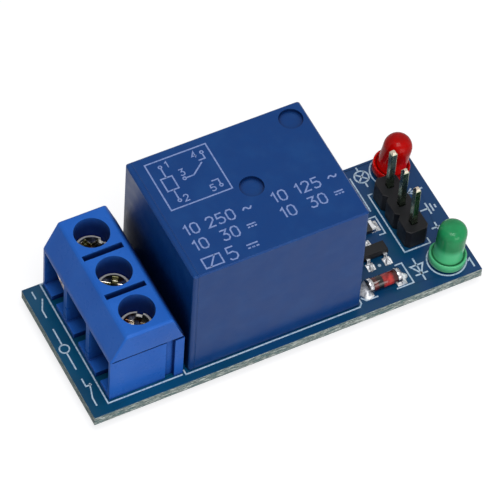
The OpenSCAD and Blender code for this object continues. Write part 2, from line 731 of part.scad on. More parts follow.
// The fixed buttons face the moving one from below and from above
module open_contact_button() {
    color("#d4d6d9") in_relay() translate([-contact_x, 0, open_button_top]) {
        translate([0, 0, -contact_h]) cylinder(r = contact_r, h = contact_h);
        translate([0, 0, -contact_h - strip_t]) cylinder(r = rivet_shank_r, h = strip_t + eps);
    }
}

module closed_contact_button() {
    color("#d4d6d9") in_relay() translate([-contact_x, 0, closed_button_z]) {
        cylinder(r = contact_r, h = contact_h);
        cylinder(r = rivet_shank_r, h = contact_h + strip_t);
    }
}

module common_pin() {
    color("#c9ccd1") in_relay() translate([common_pin_x, 0, 0])
        pin_end(relay_pin_t, relay_pin_w, base_top);
}

module coil_pins() {
    color("#c9ccd1") in_relay() for (s = sides) translate([coil_pin_x, s * outer_pin_y, 0])
        pin_end(relay_pin_t, relay_pin_t, bobbin_z + flange_t + 0.8);
}

// ---- pin header ----------------------------------------------------------------

module header_insulator() {
    half = header_pitch / 2;
    color("#17181a") on_board(header_x, header_y) difference() {
        block(insulator_w, 3 * header_pitch, insulator_h);
        for (sx = sides, y = [-3, -1, 1, 3] * half) translate([sx * insulator_w / 2, y, -eps])
            rotate([0, 0, 45]) block(sqrt(2) * insulator_notch, sqrt(2) * insulator_notch, insulator_h + 1);
        for (p = poles) translate([0, p * header_pitch, -eps])
            block(header_pin_w + 2 * fit, header_pin_w + 2 * fit, insulator_h + 2 * eps);
    }
}

// Square pins with a four-sided point at the upper end
module header_pin() {
    point = header_pin_w / 2;
    narrow = [for (s = [[-1, 0], [-1, 1], [1, 1], [1, 0]])
        [s[0] * header_pin_w * (0.5 - 0.25 * s[1]), header_pin_h - point * (1 - s[1])]];
    pin_end(header_pin_w, header_pin_w, header_pin_h - point);
    intersection() {
        across(header_pin_w) polygon(narrow);
        along(header_pin_w) polygon(narrow);
    }
}

module header_pins() {
    color("#c8b06a") for (pin = header_pin_list) on_board(pin[0], pin[1]) header_pin();
}

// ---- indicator lamps -----------------------------------------------------------

// Leans a lamp about the line through its legs where they enter the board
module leaning(lean, side_lean, turn)
    rotate([side_lean, lean, 0]) translate([0, 0, rim_r * (sin(lean) + sin(side_lean)) + lamp_gap])
        rotate([0, 0, turn]) children();

// Legs inside the lens: an anvil on one side, a post on the other
module lamp_core() {
    half = lamp_leg_w / 2;
    anvil_y = post_w / 2;                 // the anvil ends just past the lamp's axis
    for (s = sides) translate([0, s * lamp_leg_gap / 2, -leg_step_z])
        block(lamp_leg_w, lamp_leg_w, 2 * leg_step_z + eps);
    translate([0, 0, leg_step_z]) {
        span([-half, -lamp_leg_gap / 2 - half, 0], [half, anvil_y, leg_step_h]);
        span([-half, anvil_y - anvil_w, 0], [half, anvil_y, anvil_h]);
        span([-half, anvil_y + post_gap, 0], [half, lamp_leg_gap / 2 + half, leg_step_h]);
        span([-half, anvil_y + post_gap, 0], [half, anvil_y + post_gap + post_w, anvil_h]);
    }
}

module lamp_lens(shade, y, lean, side_lean, turn) {
    color(shade) on_board(lamp_x, y) leaning(lean, side_lean, turn) difference() {
        union() {
            // The rim has a flat on the side of the anvil
            intersection() {
                cylinder(r = rim_r, h = rim_h);
                translate([-rim_r, -rim_r + rim_flat, 0]) cube([2 * rim_r, 2 * rim_r, rim_h]);
            }
            cylinder(r = lens_r, h = lens_h - lens_r);
            translate([0, 0, lens_h - lens_r]) sphere(r = lens_r);
        }
        lamp_core();
    }
}

module lamp_legs(y, lean, side_lean, turn) {
    color("#c9ccd1") on_board(lamp_x, y) {
        difference() {
            leaning(lean, side_lean, turn) lamp_core();
            // The leaning legs end where the upright ones begin
            translate([0, 0, -lens_h - fit]) block(2 * lens_h, 2 * lens_h, lens_h);
        }
        for (s = sides) translate([0, s * lamp_leg_gap / 2, 0]) pin_end(lamp_leg_w, lamp_leg_w, fit);
    }
}

module red_lamp_lens() lamp_lens("#c01818", red_y, red_lean, red_side_lean, 0);
module red_lamp_legs() lamp_legs(red_y, red_lean, red_side_lean, 0);
module green_lamp_lens() lamp_lens("#3c9a5c", green_y, green_lean, 0, 180);
module green_lamp_legs() lamp_legs(green_y, green_lean, 0, 180);

// ---- diode, transistor and resistors -------------------------------------------

// Places a diode piece that is drawn along +Z with its middle at z = 0
module in_diode() on_board(diode_x, diode_y) translate([0, 0, diode_z]) rotate([0, 90, 0]) children();

glass_l = diode_l - 2 * cap_l;
stud_r = glass_r - glass_wall;

module diode_glass() {
    color("#b04a3a") in_diode() difference() {
        cylinder(r = glass_r, h = glass_l, center = true);
        cylinder(r = stud_r + fit, h = glass_l + 1, center = true);
    }
}

module diode_caps() {
    color("#d8dadd") in_diode() for (s = sides)
        translate([0, 0, s * (diode_l - cap_l) / 2]) cylinder(r = cap_r, h = cap_l, center = true);
}

// Two studs that hold the die between them
module diode_studs() {
    die = 0.3;
    color("#a8442c") in_diode() {
        for (s = sides) translate([0, 0, s * (glass_l + die) / 4])
            cylinder(r = stud_r, h = (glass_l - die) / 2, center = true);
        cylinder(r = 0.6 * stud_r, h = die + 2 * eps, center = true);
    }
}

// A moulded body that tapers from its middle to its top and bottom faces
module transistor_body() {
    low = pad_t + 0.1;
    mid = (low + transistor_h) / 2;
    taper = 0.1;
    color("#1b1c1e") on_board(transistor_x, transistor_y) intersection() {
        across(transistor_w) polygon([for (p = [[-1, 0], [-1, 1], [-1, 2], [1, 2], [1, 1], [1, 0]])
            [p[0] * (transistor_l / 2 - (p[1] == 1 ? 0 : taper)), [low, mid, transistor_h][p[1]]]]);
        along(transistor_l) polygon([for (p = [[-1, 0], [-1, 1], [-1, 2], [1, 2], [1, 1], [1, 0]])
            [p[0] * (transistor_w / 2 - (p[1] == 1 ? 0 : taper)), [low, mid, transistor_h][p[1]]]]);
    }
}

// A gull-wing leg that leaves the body at mid height and stands on its pad
module gull_leg() {
    mid = (pad_t + 0.1 + transistor_h) / 2;
    t = 0.13;
    r = leg_reach;
    along(leg_w) polygon([[0, mid - t / 2], [0.25 * r, mid - t / 2], [0.45 * r, pad_t],
        [r, pad_t], [r, pad_t + t], [0.6 * r, pad_t + t], [0.42 * r, mid + t / 2], [0, mid + t / 2]]);
}

module transistor_legs() {
    color("#d3d5d8") on_board(transistor_x, transistor_y) {
        translate([0, transistor_w / 2, 0]) gull_leg();
        for (s = sides) translate([s * leg_pitch / 2, -transistor_w / 2, 0]) mirror([0, 1, 0]) gull_leg();
    }
}

module at_resistors() for (i = [0:2])
    on_board(resistor_x, resistor_y + i * resistor_pitch) translate([0, 0, pad_t]) children();

module resistor_bodies() {
    color("#1c1d1f") at_resistors()
        block(resistor_l - 2 * resistor_end, resistor_w - 0.04, resistor_t - 0.03);
}

module resistor_ends() {
    color("#d3d5d8") at_resistors() for (s = sides)
        translate([s * (resistor_l - resistor_end) / 2, 0, 0]) block(resistor_end, resistor_w, resistor_t);
}

// ---- nodes ---------------------------------------------------------------------

circuit_board();
through_hole_solder();
surface_solder();
terminal_housing();
for (i = [0:2]) {
    in_terminal(poles[i]) terminal_frame(frame_skew[i], guard_drop[i]);
    in_terminal(poles[i]) pressure_plate();
    in_terminal(poles[i]) terminal_screw(screw_angles[i]);
}
relay_cover();
relay_base();
coil_bobbin();
coil_winding();
iron_core();
yoke();
armature();
contact_spring();
moving_contact();
open_contact_strip();
closed_contact_strip();
open_contact_button();
closed_contact_button();
common_pin();
coil_pins();
header_insulator();
header_pins();
red_lamp_lens();
red_lamp_legs();
green_lamp_lens();
green_lamp_legs();
diode_glass();
diode_caps();
diode_studs();
transistor_body();
transistor_legs();
resistor_bodies();
resistor_ends();
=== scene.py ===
"""Looks of the relay module board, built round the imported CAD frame.

Everything is in metres in the row frame: +X runs from the screw terminals to the pin
header, +Z is up. Lengths written in millimetres go through MM or mm().
"""
import json
import math
import bmesh
import bpy
from mathutils import Matrix, Quaternion, Vector


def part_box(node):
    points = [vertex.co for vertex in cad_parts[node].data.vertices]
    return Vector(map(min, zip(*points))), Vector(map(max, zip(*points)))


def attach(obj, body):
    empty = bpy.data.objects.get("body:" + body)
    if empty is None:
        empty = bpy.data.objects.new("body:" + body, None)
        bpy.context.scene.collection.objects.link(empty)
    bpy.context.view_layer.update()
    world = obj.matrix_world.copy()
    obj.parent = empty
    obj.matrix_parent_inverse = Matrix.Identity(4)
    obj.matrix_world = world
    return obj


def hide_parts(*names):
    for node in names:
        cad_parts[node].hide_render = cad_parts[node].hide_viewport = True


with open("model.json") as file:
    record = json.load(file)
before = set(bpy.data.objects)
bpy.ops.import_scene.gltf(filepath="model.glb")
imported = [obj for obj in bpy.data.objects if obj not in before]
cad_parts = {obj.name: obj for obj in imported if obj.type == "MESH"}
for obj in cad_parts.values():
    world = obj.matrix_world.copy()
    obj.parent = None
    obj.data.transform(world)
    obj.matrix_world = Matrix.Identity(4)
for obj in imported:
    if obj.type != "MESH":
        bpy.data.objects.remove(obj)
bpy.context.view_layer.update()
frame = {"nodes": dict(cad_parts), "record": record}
NODES = frame["nodes"]
MM = 0.001


def mm(*values):
    """A vector given in millimetres."""
    return Vector(values) * MM


# ---- places read from the frame --------------------------------------------------

def middle(node):
    low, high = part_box(node)
    return (low + high) / 2


BOARD_LOW, BOARD_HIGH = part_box("circuit_board")
BOARD_TOP = BOARD_HIGH.z
RELAY_LOW, RELAY_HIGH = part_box("relay_cover")
BLOCK_LOW, BLOCK_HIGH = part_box("terminal_housing")
HEADER_LOW, HEADER_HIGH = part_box("header_insulator")
PINS_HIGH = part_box("header_pins")[1]
DIODE_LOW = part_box("diode_caps")[0]
DIODE_MID = middle("diode_caps")
RESISTORS_MID = middle("resistor_ends")
SCREW_MIDS = [middle(f"terminal_screw_{i}") for i in (1, 2, 3)]
# Height at which the block's end walls give way to its gables
SHOULDER = BOARD_TOP + 6.4 * MM
# Places of the chips, the transistor's pads and the lamps, in millimetres
RESISTOR_YS = (0.72, 3.32, 5.92)
TRANSISTOR_FRONT_PADS = ((11.4, -3.72), (13.3, -3.72))
TRANSISTOR_BACK_PAD = (12.35, -0.86)
LAMP_X = 18.85
LAMP_Y = {"red_lamp_lens": 6.44, "green_lamp_lens": -5.95}


# ---- camera, light and floor -----------------------------------------------------

CAMERA_AT = Vector((-0.12392, -0.21104, 0.33814))
CAMERA_TO = Vector((-0.00050, 0.00021, 0.00780))
CAMERA_ROLL = math.radians(4.44)
CAMERA_LENS = 298.46
LIGHTS_TO = mm(0, 0, 6)
AMBIENT = 0.2
FLOOR_REACH = 1.5
FLOOR_GREY = (0.32, 0.32, 0.33, 1)
FLOOR_GLOW = 0.78


def link(obj):
    bpy.context.scene.collection.objects.link(obj)
    return obj


def make_camera():
    data = bpy.data.cameras.new("camera")
    data.lens = CAMERA_LENS
    data.sensor_width = 36.0
    data.clip_start = 0.01
    data.clip_end = 20.0
    camera = link(bpy.data.objects.new("camera", data))
    aim = (CAMERA_TO - CAMERA_AT).to_track_quat("-Z", "Y")
    camera.rotation_mode = "QUATERNION"
    camera.rotation_quaternion = aim @ Quaternion((0, 0, 1), CAMERA_ROLL)
    camera.location = CAMERA_AT
    bpy.context.scene.camera = camera


def softbox(name, at, size, power):
    """A square area light that faces the object."""
    data = bpy.data.lights.new(name, "AREA")
    data.shape = "SQUARE"
    data.size = size
    data.energy = power
    lamp = link(bpy.data.objects.new(name, data))
    lamp.location = at
    lamp.rotation_mode = "QUATERNION"
    lamp.rotation_quaternion = (LIGHTS_TO - Vector(at)).to_track_quat("-Z", "Y")


def seen_as_background(nodes):
    """A factor that is 1 for the camera, mirrors and glass, and 0 for the light itself."""
    path = nodes.new("ShaderNodeLightPath")
    tree = nodes.id_data
    total = None
    for name in ("Is Camera Ray", "Is Glossy Ray", "Is Transmission Ray"):
        if total is None:
            total = path.outputs[name]
            continue
        larger = nodes.new("ShaderNodeMath")
        larger.operation = "MAXIMUM"
        tree.links.new(total, larger.inputs[0])
        tree.links.new(path.outputs[name], larger.inputs[1])
        total = larger.outputs[0]
    return total


def make_world():
    """White where it is seen, and a plain grey light otherwise."""
    world = bpy.data.worlds.new("studio")
    world.use_nodes = True
    bpy.context.scene.world = world
    nodes, links = world.node_tree.nodes, world.node_tree.links
    nodes.clear()
    out = nodes.new("ShaderNodeOutputWorld")
    mix = nodes.new("ShaderNodeMixShader")
    ambient = nodes.new("ShaderNodeBackground")
    ambient.inputs["Color"].default_value = (0.93, 0.96, 1.0, 1)
    ambient.inputs["Strength"].default_value = AMBIENT
    white = nodes.new("ShaderNodeBackground")
    white.inputs["Color"].default_value = (1, 1, 1, 1)
    white.inputs["Strength"].default_value = 1.0
    links.new(seen_as_background(nodes), mix.inputs[0])
    links.new(ambient.outputs[0], mix.inputs[1])
    links.new(white.outputs[0], mix.inputs[2])
    links.new(mix.outputs[0], out.inputs["Surface"])


def make_floor():
    """A pale table that keeps the object's soft shadow."""
    bm = bmesh.new()
    corners = [bm.verts.new((x * FLOOR_REACH, y * FLOOR_REACH, 0))
               for x, y in ((-1, -1), (1, -1), (1, 1), (-1, 1))]
    bm.faces.new(corners)
    mesh = bpy.data.meshes.new("floor")
    bm.to_mesh(mesh)
    bm.free()
    floor = link(bpy.data.objects.new("floor", mesh))
    material = bpy.data.materials.new("floor_white")
    material.use_nodes = True
    nodes, links = material.node_tree.nodes, material.node_tree.links
    nodes.clear()
    out = nodes.new("ShaderNodeOutputMaterial")
    add = nodes.new("ShaderNodeAddShader")
    matte = nodes.new("ShaderNodeBsdfDiffuse")
    matte.inputs["Color"].default_value = FLOOR_GREY
    glow = nodes.new("ShaderNodeEmission")
    glow.inputs["Color"].default_value = (1, 1, 1, 1)
    scale = nodes.new("ShaderNodeMath")
    scale.operation = "MULTIPLY"
    scale.inputs[1].default_value = FLOOR_GLOW
    links.new(seen_as_background(nodes), scale.inputs[0])
    links.new(scale.outputs[0], glow.inputs["Strength"])
    links.new(matte.outputs[0], add.inputs[0])
    links.new(glow.outputs[0], add.inputs[1])
    links.new(add.outputs[0], out.inputs["Surface"])
    mesh.materials.append(material)


def make_studio():
    softbox("key", (-0.05, -0.13, 0.41), 0.24, 1.32)
    softbox("front", (0.06, -0.42, 0.11), 0.26, 0.78)
    make_world()
    make_floor()
    bpy.context.scene.view_settings.view_transform = "Standard"


# ---- materials -------------------------------------------------------------------

def srgb(r, g, b):
    """A colour given as 0 to 255 display values, as Blender's linear RGBA."""
    def linear(v):
        v /= 255
        return v / 12.92 if v <= 0.04045 else ((v + 0.055) / 1.055) ** 2.4
    return (linear(r), linear(g), linear(b), 1.0)


class Shader:
    """Builds one material's nodes. Texture positions are the row frame's, in metres.

    Plain numbers for other sockets come as keywords: Specular_IOR_Level=0.2 and so on.
    """

    def __init__(self, name, colour, roughness, **sockets):
        self.material = bpy.data.materials.new(name)
        self.material.use_nodes = True
        self.nodes = self.material.node_tree.nodes
        self.links = self.material.node_tree.links
        self.bsdf = self.nodes["Principled BSDF"]
        self.bsdf.inputs["Base Color"].default_value = colour
        self.bsdf.inputs["Roughness"].default_value = roughness
        for key, value in sockets.items():
            self.bsdf.inputs[key.replace("_", " ")].default_value = value
        self.place = self.nodes.new("ShaderNodeTexCoord").outputs["Object"]

    def put(self, value, socket):
        """Joins a node output to a socket, or writes a plain number there."""
        if isinstance(value, bpy.types.NodeSocket):
            self.links.new(value, socket)
        else:
            socket.default_value = value

    def math(self, operation, a, b=0.0):
        node = self.nodes.new("ShaderNodeMath")
        node.operation = operation
        self.put(a, node.inputs[0])
        self.put(b, node.inputs[1])
        return node.outputs[0]

    def noise(self, size, detail=3.0, stretch=(1, 1, 1), roughness=0.5):
        """Noise whose features are about `size` millimetres, stretched along an axis."""
        mapping = self.nodes.new("ShaderNodeMapping")
        mapping.inputs["Scale"].default_value = [1 / s for s in stretch]
        self.links.new(self.place, mapping.inputs["Vector"])
        node = self.nodes.new("ShaderNodeTexNoise")
        node.inputs["Scale"].default_value = 1 / (size * MM)
        node.inputs["Detail"].default_value = detail
        node.inputs["Roughness"].default_value = roughness
        self.links.new(mapping.outputs[0], node.inputs["Vector"])
        return node.outputs["Fac"]

    def shelter(self, reach):
        """1 in the open, falling to 0 in corners and holes about `reach` mm across; the plastics
        darken by it to paint shade.
        """
        node = self.nodes.new("ShaderNodeAmbientOcclusion")
        node.samples = 6
        node.inputs["Distance"].default_value = reach * MM
        return node.outputs["AO"]

    def attribute(self, name):
        """A number kept on each vertex of the piece."""
        node = self.nodes.new("ShaderNodeAttribute")
        node.attribute_name = name
        return node.outputs["Fac"]

    def axis(self, name):
        split = self.nodes.new("ShaderNodeSeparateXYZ")
        self.links.new(self.place, split.inputs[0])
        return split.outputs[name]

    def ramp(self, value, low, high, to_low=0.0, to_high=1.0):
        """Maps low..high to to_low..to_high, smoothly and clamped."""
        node = self.nodes.new("ShaderNodeMapRange")
        node.interpolation_type = "SMOOTHSTEP"
        for i, v in enumerate((value, low, high, to_low, to_high)):
            self.put(v, node.inputs[i])
        return node.outputs[0]

    def mix(self, factor, a, b):
        """A colour between a and b."""
        node = self.nodes.new("ShaderNodeMix")
        node.data_type = "RGBA"
        self.put(factor, node.inputs[0])
        self.put(a, node.inputs[6])
        self.put(b, node.inputs[7])
        return node.outputs[2]

    def radius(self, first, second, at):
        """Distance from a line through `at` that is square to two named axes."""
        return self.length(self.math("SUBTRACT", self.axis(first), at[0]),
                           self.math("SUBTRACT", self.axis(second), at[1]))

    def length(self, a, b):
        """Length of the plane vector (a, b)."""
        squares = self.math("ADD", self.math("MULTIPLY", a, a), self.math("MULTIPLY", b, b))
        return self.math("SQRT", squares)

    def band(self, value, low, high, blur):
        """1 between low and high, 0 outside, with edges `blur` wide."""
        up = self.ramp(value, low, low + blur)
        down = self.ramp(value, high - blur, high, 1.0, 0.0)
        return self.math("MULTIPLY", up, down)

    def tint(self, factor, a, b):
        """Colours the surface from a to b by a factor."""
        colour = self.mix(factor, a, b)
        self.put(colour, self.bsdf.inputs["Base Color"])
        return colour

    def gloss(self, factor, low, high):
        self.put(self.ramp(factor, 0.3, 0.7, low, high), self.bsdf.inputs["Roughness"])

    def bump(self, height, depth):
        """Relief of about `depth` millimetres; calls stack on each other."""
        node = self.nodes.new("ShaderNodeBump")
        node.inputs["Distance"].default_value = depth * MM
        self.put(height, node.inputs["Height"])
        below = self.bsdf.inputs["Normal"]
        if below.is_linked:
            self.links.new(below.links[0].from_socket, node.inputs["Normal"])
        self.links.new(node.outputs[0], below)


def board_laminate():
    """Blue solder mask above and below, sawn glass fibre and resin round the edge."""
    s = Shader("board_laminate", srgb(4, 52, 92), 0.34, Specular_IOR_Level=0.25)
    skin = 0.02 * MM
    edge = s.band(s.axis("Z"), BOARD_LOW.z + skin, BOARD_TOP - skin, skin)
    teal = s.ramp(s.axis("X"), BOARD_LOW.x, BOARD_HIGH.x - 12 * MM)
    mask = s.mix(teal, srgb(2, 70, 104), srgb(8, 55, 102))
    mask = s.mix(s.ramp(s.noise(5.0), 0.4, 0.7), mask, srgb(2, 60, 92))
    fibre = s.ramp(s.noise(0.4, 6.0, (2.0, 2.0, 0.45), 0.75), 0.38, 0.62)
    resin = s.mix(fibre, srgb(104, 136, 138), srgb(222, 230, 222))
    s.tint(edge, mask, resin)
    s.put(s.ramp(edge, 0, 1, 0.3, 0.8), s.bsdf.inputs["Roughness"])
    s.bump(s.math("MULTIPLY", fibre, edge), 0.12)
    s.bump(s.noise(0.7, 4.0), 0.004)
    return s.material


def moulded(name, dark, light, roughness):
    """Injection-moulded plastic: fine spark-eroded grain and a slow change of shade."""
    s = Shader(name, dark, roughness, Specular_IOR_Level=0.2)
    s.tint(s.ramp(s.noise(5.0, 2.0), 0.3, 0.7), dark, light)
    s.gloss(s.noise(0.9, 4.0), roughness - 0.05, roughness + 0.07)
    s.bump(s.noise(0.06, 4.0), 0.0035)
    s.bump(s.noise(3.2, 1.0), 0.02)
    return s.material


def terminal_plastic():
    """Glossy blue with painted shade: darker in the wells and the bays, and a painted shadow line
    under the gables.
    """
    s = Shader("terminal_plastic", srgb(24, 88, 180), 0.3, Specular_IOR_Level=0.1)
    shade = s.mix(s.ramp(s.noise(4.0, 2.0), 0.3, 0.7), srgb(36, 96, 187), srgb(42, 103, 195))
    # painted shade: darker blue where the surface is sheltered, in the wells and the bays
    deep = s.ramp(s.shelter(4.0), 0.15, 0.85)
    shade = s.mix(deep, srgb(0, 30, 92), shade)
    # painted shade: a thin dark line in narrow corners, such as under the gables
    s.tint(s.ramp(s.shelter(0.4), 0.35, 0.9), srgb(4, 22, 84), shade)
    dull = s.ramp(deep, 0.1, 0.8, 0.5, 0.0)
    rough = s.ramp(s.noise(0.8, 3.0), 0.3, 0.7, 0.26, 0.36)
    s.put(s.math("ADD", rough, dull), s.bsdf.inputs["Roughness"])
    s.bump(s.noise(3.0, 1.0), 0.02)
    return s.material


def relay_plastic():
    """Darker blue cover with a fine moulding line; dust dulls it here and there, and painted shade
    darkens its corners and hollows.
    """
    s = Shader("relay_plastic", srgb(8, 57, 118), 0.3, Specular_IOR_Level=0.18)
    dust = s.ramp(s.noise(2.2, 5.0), 0.42, 0.75)
    shade = s.mix(dust, srgb(9, 58, 120), srgb(16, 64, 125))
    # painted shade: darker blue in sheltered corners and hollows
    shade = s.mix(s.ramp(s.shelter(4.0), 0.1, 0.9), srgb(1, 20, 56), shade)
    # painted shade: a thin dark line in narrow corners and small recesses
    s.tint(s.ramp(s.shelter(0.5), 0.45, 0.95), srgb(3, 26, 72), shade)
    s.gloss(s.noise(1.3, 4.0), 0.28, 0.38)
    seam, half = RELAY_LOW.x + 0.6 * MM, 0.1 * MM
    s.bump(s.band(s.axis("X"), seam - half, seam + half, half), 0.05)
    s.bump(s.noise(4.0, 1.0), 0.008)
    return s.material


def metal(name, dark, light, roughness):
    """Plated or bare metal with small patches of tarnish and fine scratches."""
    s = Shader(name, light, roughness, Metallic=1.0)
    s.tint(s.ramp(s.noise(0.5, 5.0), 0.35, 0.62), dark, light)
    s.gloss(s.noise(0.25, 4.0), roughness - 0.06, roughness + 0.12)
    s.bump(s.noise(0.25, 4.0), 0.006)
    return s.material


def from_screw_axis(s):
    """Distance from the axis of the nearest of the three screws."""
    pitch = SCREW_MIDS[1].y - SCREW_MIDS[0].y
    across = s.math("SUBTRACT", s.axis("Y"), SCREW_MIDS[1].y)
    pole = s.math("ROUND", s.math("DIVIDE", across, pitch))
    across = s.math("SUBTRACT", across, s.math("MULTIPLY", pole, pitch))
    return s.length(across, s.math("SUBTRACT", s.axis("X"), SCREW_MIDS[0].x))


def screw_steel():
    """Nickel: a painted highlight in near-white round the rim of each head, brown and olive film in
    its recess.
    """
    s = Shader("screw_steel", srgb(200, 196, 188), 0.2, Metallic=1.0)
    # painted highlight: a near-white, less metallic ring round the rim of each head
    rim = s.ramp(from_screw_axis(s), 1.3 * MM, 1.5 * MM)
    film = s.mix(s.ramp(s.noise(3.0, 1.0), 0.44, 0.56), srgb(104, 60, 32), srgb(88, 88, 64))
    film = s.mix(s.ramp(s.noise(1.1, 1.0), 0.48, 0.68), film, srgb(196, 190, 178))
    s.tint(rim, film, srgb(240, 238, 232))
    s.put(s.ramp(rim, 0, 1, 1.0, 0.35), s.bsdf.inputs["Metallic"])
    s.gloss(s.noise(0.8, 3.0), 0.14, 0.26)
    s.bump(s.noise(1.2, 1.0), 0.02)
    return s.material


def pin_gold():
    """Thin gold on square pins: painted light makes the top of each pin pale, dull green-grey below.
    """
    s = Shader("header_gold", srgb(150, 146, 120), 0.26, Metallic=1.0)
    sides = s.mix(s.ramp(s.noise(0.8, 4.0, (1, 1, 2.5)), 0.4, 0.65),
                  srgb(112, 132, 110), srgb(156, 166, 142))
    top = PINS_HIGH.z
    # painted light: the top 0.35 mm of each pin is paler than its sides
    s.tint(s.ramp(s.axis("Z"), top - 0.35 * MM, top - 0.15 * MM), sides, srgb(196, 184, 166))
    s.gloss(s.noise(0.9, 3.0), 0.18, 0.34)
    s.bump(s.noise(0.6, 2.0, (1, 1, 3)), 0.004)
    return s.material


def solder():
    """Bright tin with soft flow marks and a few dull grains."""
    s = Shader("solder", srgb(224, 226, 230), 0.5, Metallic=0.45)
    s.tint(s.ramp(s.noise(0.5, 4.0), 0.34, 0.6), srgb(176, 178, 182), srgb(240, 241, 243))
    s.gloss(s.noise(0.4, 3.0), 0.42, 0.6)
    s.bump(s.noise(0.9, 1.0), 0.02)
    return s.material


def copper_wire():
    """Enamelled wire wound in layers; the turns are about 0.08 mm apart."""
    s = Shader("copper_wire", srgb(170, 82, 38), 0.3, Metallic=0.9)
    wave = s.nodes.new("ShaderNodeTexWave")
    wave.bands_direction = "Z"
    wave.inputs["Scale"].default_value = 600.0
    s.links.new(s.place, wave.inputs["Vector"])
    s.tint(wave.outputs["Fac"], srgb(110, 46, 20), srgb(196, 104, 52))
    s.bump(wave.outputs["Fac"], 0.03)
    return s.material


def darker(colour, share):
    return [share * v for v in colour[:3]] + [1.0]


def lamp_epoxy(name, node, top, low, rim, gloss):
    """Tinted epoxy: deep in the dome, paler over the cup inside and in the rim, with a painted
    shadow in the moat at the lens foot.
    """
    s = Shader(name, top, 0.16, IOR=1.5, Specular_IOR_Level=gloss, Transmission_Weight=0.12,
               Subsurface_Weight=0.3, Subsurface_Scale=1.2 * MM,
               Subsurface_Radius=(1.0, 1.0, 1.0))
    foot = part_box(node)[0].z
    z = s.axis("Z")
    deep = s.mix(s.ramp(s.noise(1.4, 2.0), 0.3, 0.7), top, darker(top, 0.8))
    body = s.mix(s.ramp(z, foot + 2.2 * MM, foot + 3.2 * MM), low, deep)
    body = s.mix(s.ramp(z, foot + 1.15 * MM, foot + 1.35 * MM), rim, body)
    # painted shadow: darker epoxy in the moat at the lens foot, where the vertices carry a seam
    # value
    s.tint(s.attribute("seam"), body, darker(top, 0.3))
    s.gloss(s.noise(0.6, 3.0), 0.1, 0.22)
    s.bump(s.noise(1.5, 2.0), 0.012)
    return s.material


def diode_glass():
    """Red glass tube with the cathode band: darker red on the left, a painted highlight past the
    middle and painted shade at the right end.
    """
    s = Shader("diode_glass", srgb(190, 40, 36), 0.08, IOR=1.52, Specular_IOR_Level=0.4)
    x, mid = s.axis("X"), DIODE_MID.x
    clot = s.ramp(s.noise(0.7, 3.0), 0.35, 0.65)
    dull = s.mix(clot, srgb(44, 8, 8), srgb(112, 26, 22))
    bright = s.mix(clot, srgb(128, 14, 14), srgb(190, 48, 44))
    # painted highlight: from the darker red on the left to bright red past the middle
    glass = s.mix(s.ramp(x, mid - 0.45 * MM, mid + 0.1 * MM), dull, bright)
    # painted shade: darker again at the right end
    glass = s.mix(s.ramp(x, mid + 0.7 * MM, mid + 1.05 * MM), glass, srgb(64, 8, 10))
    band = s.band(x, mid - 0.85 * MM, mid - 0.2 * MM, 0.1 * MM)
    s.tint(band, glass, srgb(16, 10, 12))
    s.bump(s.noise(0.6, 2.0), 0.01)
    return s.material


def diode_cap_tin():
    """Tinned caps: a bright ring round the left end, whose dished middle is painted dark as shade.
    """
    s = Shader("diode_cap_tin", srgb(210, 211, 214), 0.2, Metallic=1.0)
    core = s.ramp(s.radius("Y", "Z", (DIODE_MID.y, DIODE_MID.z)), 0.5 * MM, 0.6 * MM, 1.0, 0.0)
    left = s.ramp(s.axis("X"), DIODE_LOW.x + 0.1 * MM, DIODE_LOW.x + 0.2 * MM, 1.0, 0.0)
    tin = s.mix(s.ramp(s.noise(0.4, 4.0), 0.35, 0.65), srgb(104, 104, 110), srgb(196, 196, 200))
    # painted shade: the middle of the left cap's end is near black
    s.tint(s.math("MULTIPLY", core, left), tin, srgb(20, 20, 26))
    s.gloss(s.noise(0.3, 3.0), 0.14, 0.32)
    s.bump(s.noise(0.4, 3.0), 0.02)
    return s.material


def ceramic():
    """Black glaze of a chip resistor."""
    s = Shader("resistor_ceramic", srgb(22, 22, 25), 0.35)
    s.tint(s.ramp(s.noise(0.3, 3.0), 0.35, 0.65), srgb(18, 18, 22), srgb(34, 34, 38))
    s.bump(s.noise(0.12, 3.0), 0.006)
    return s.material


def ink(name, colour, worn):
    """Thin printed ink, a little uneven where the screen left it thin."""
    s = Shader(name, colour, 0.55, Specular_IOR_Level=0.2)
    s.tint(s.ramp(s.noise(0.22, 4.0), 0.45, 0.7), colour, worn)
    s.bump(s.noise(0.1, 3.0), 0.004)
    return s.material


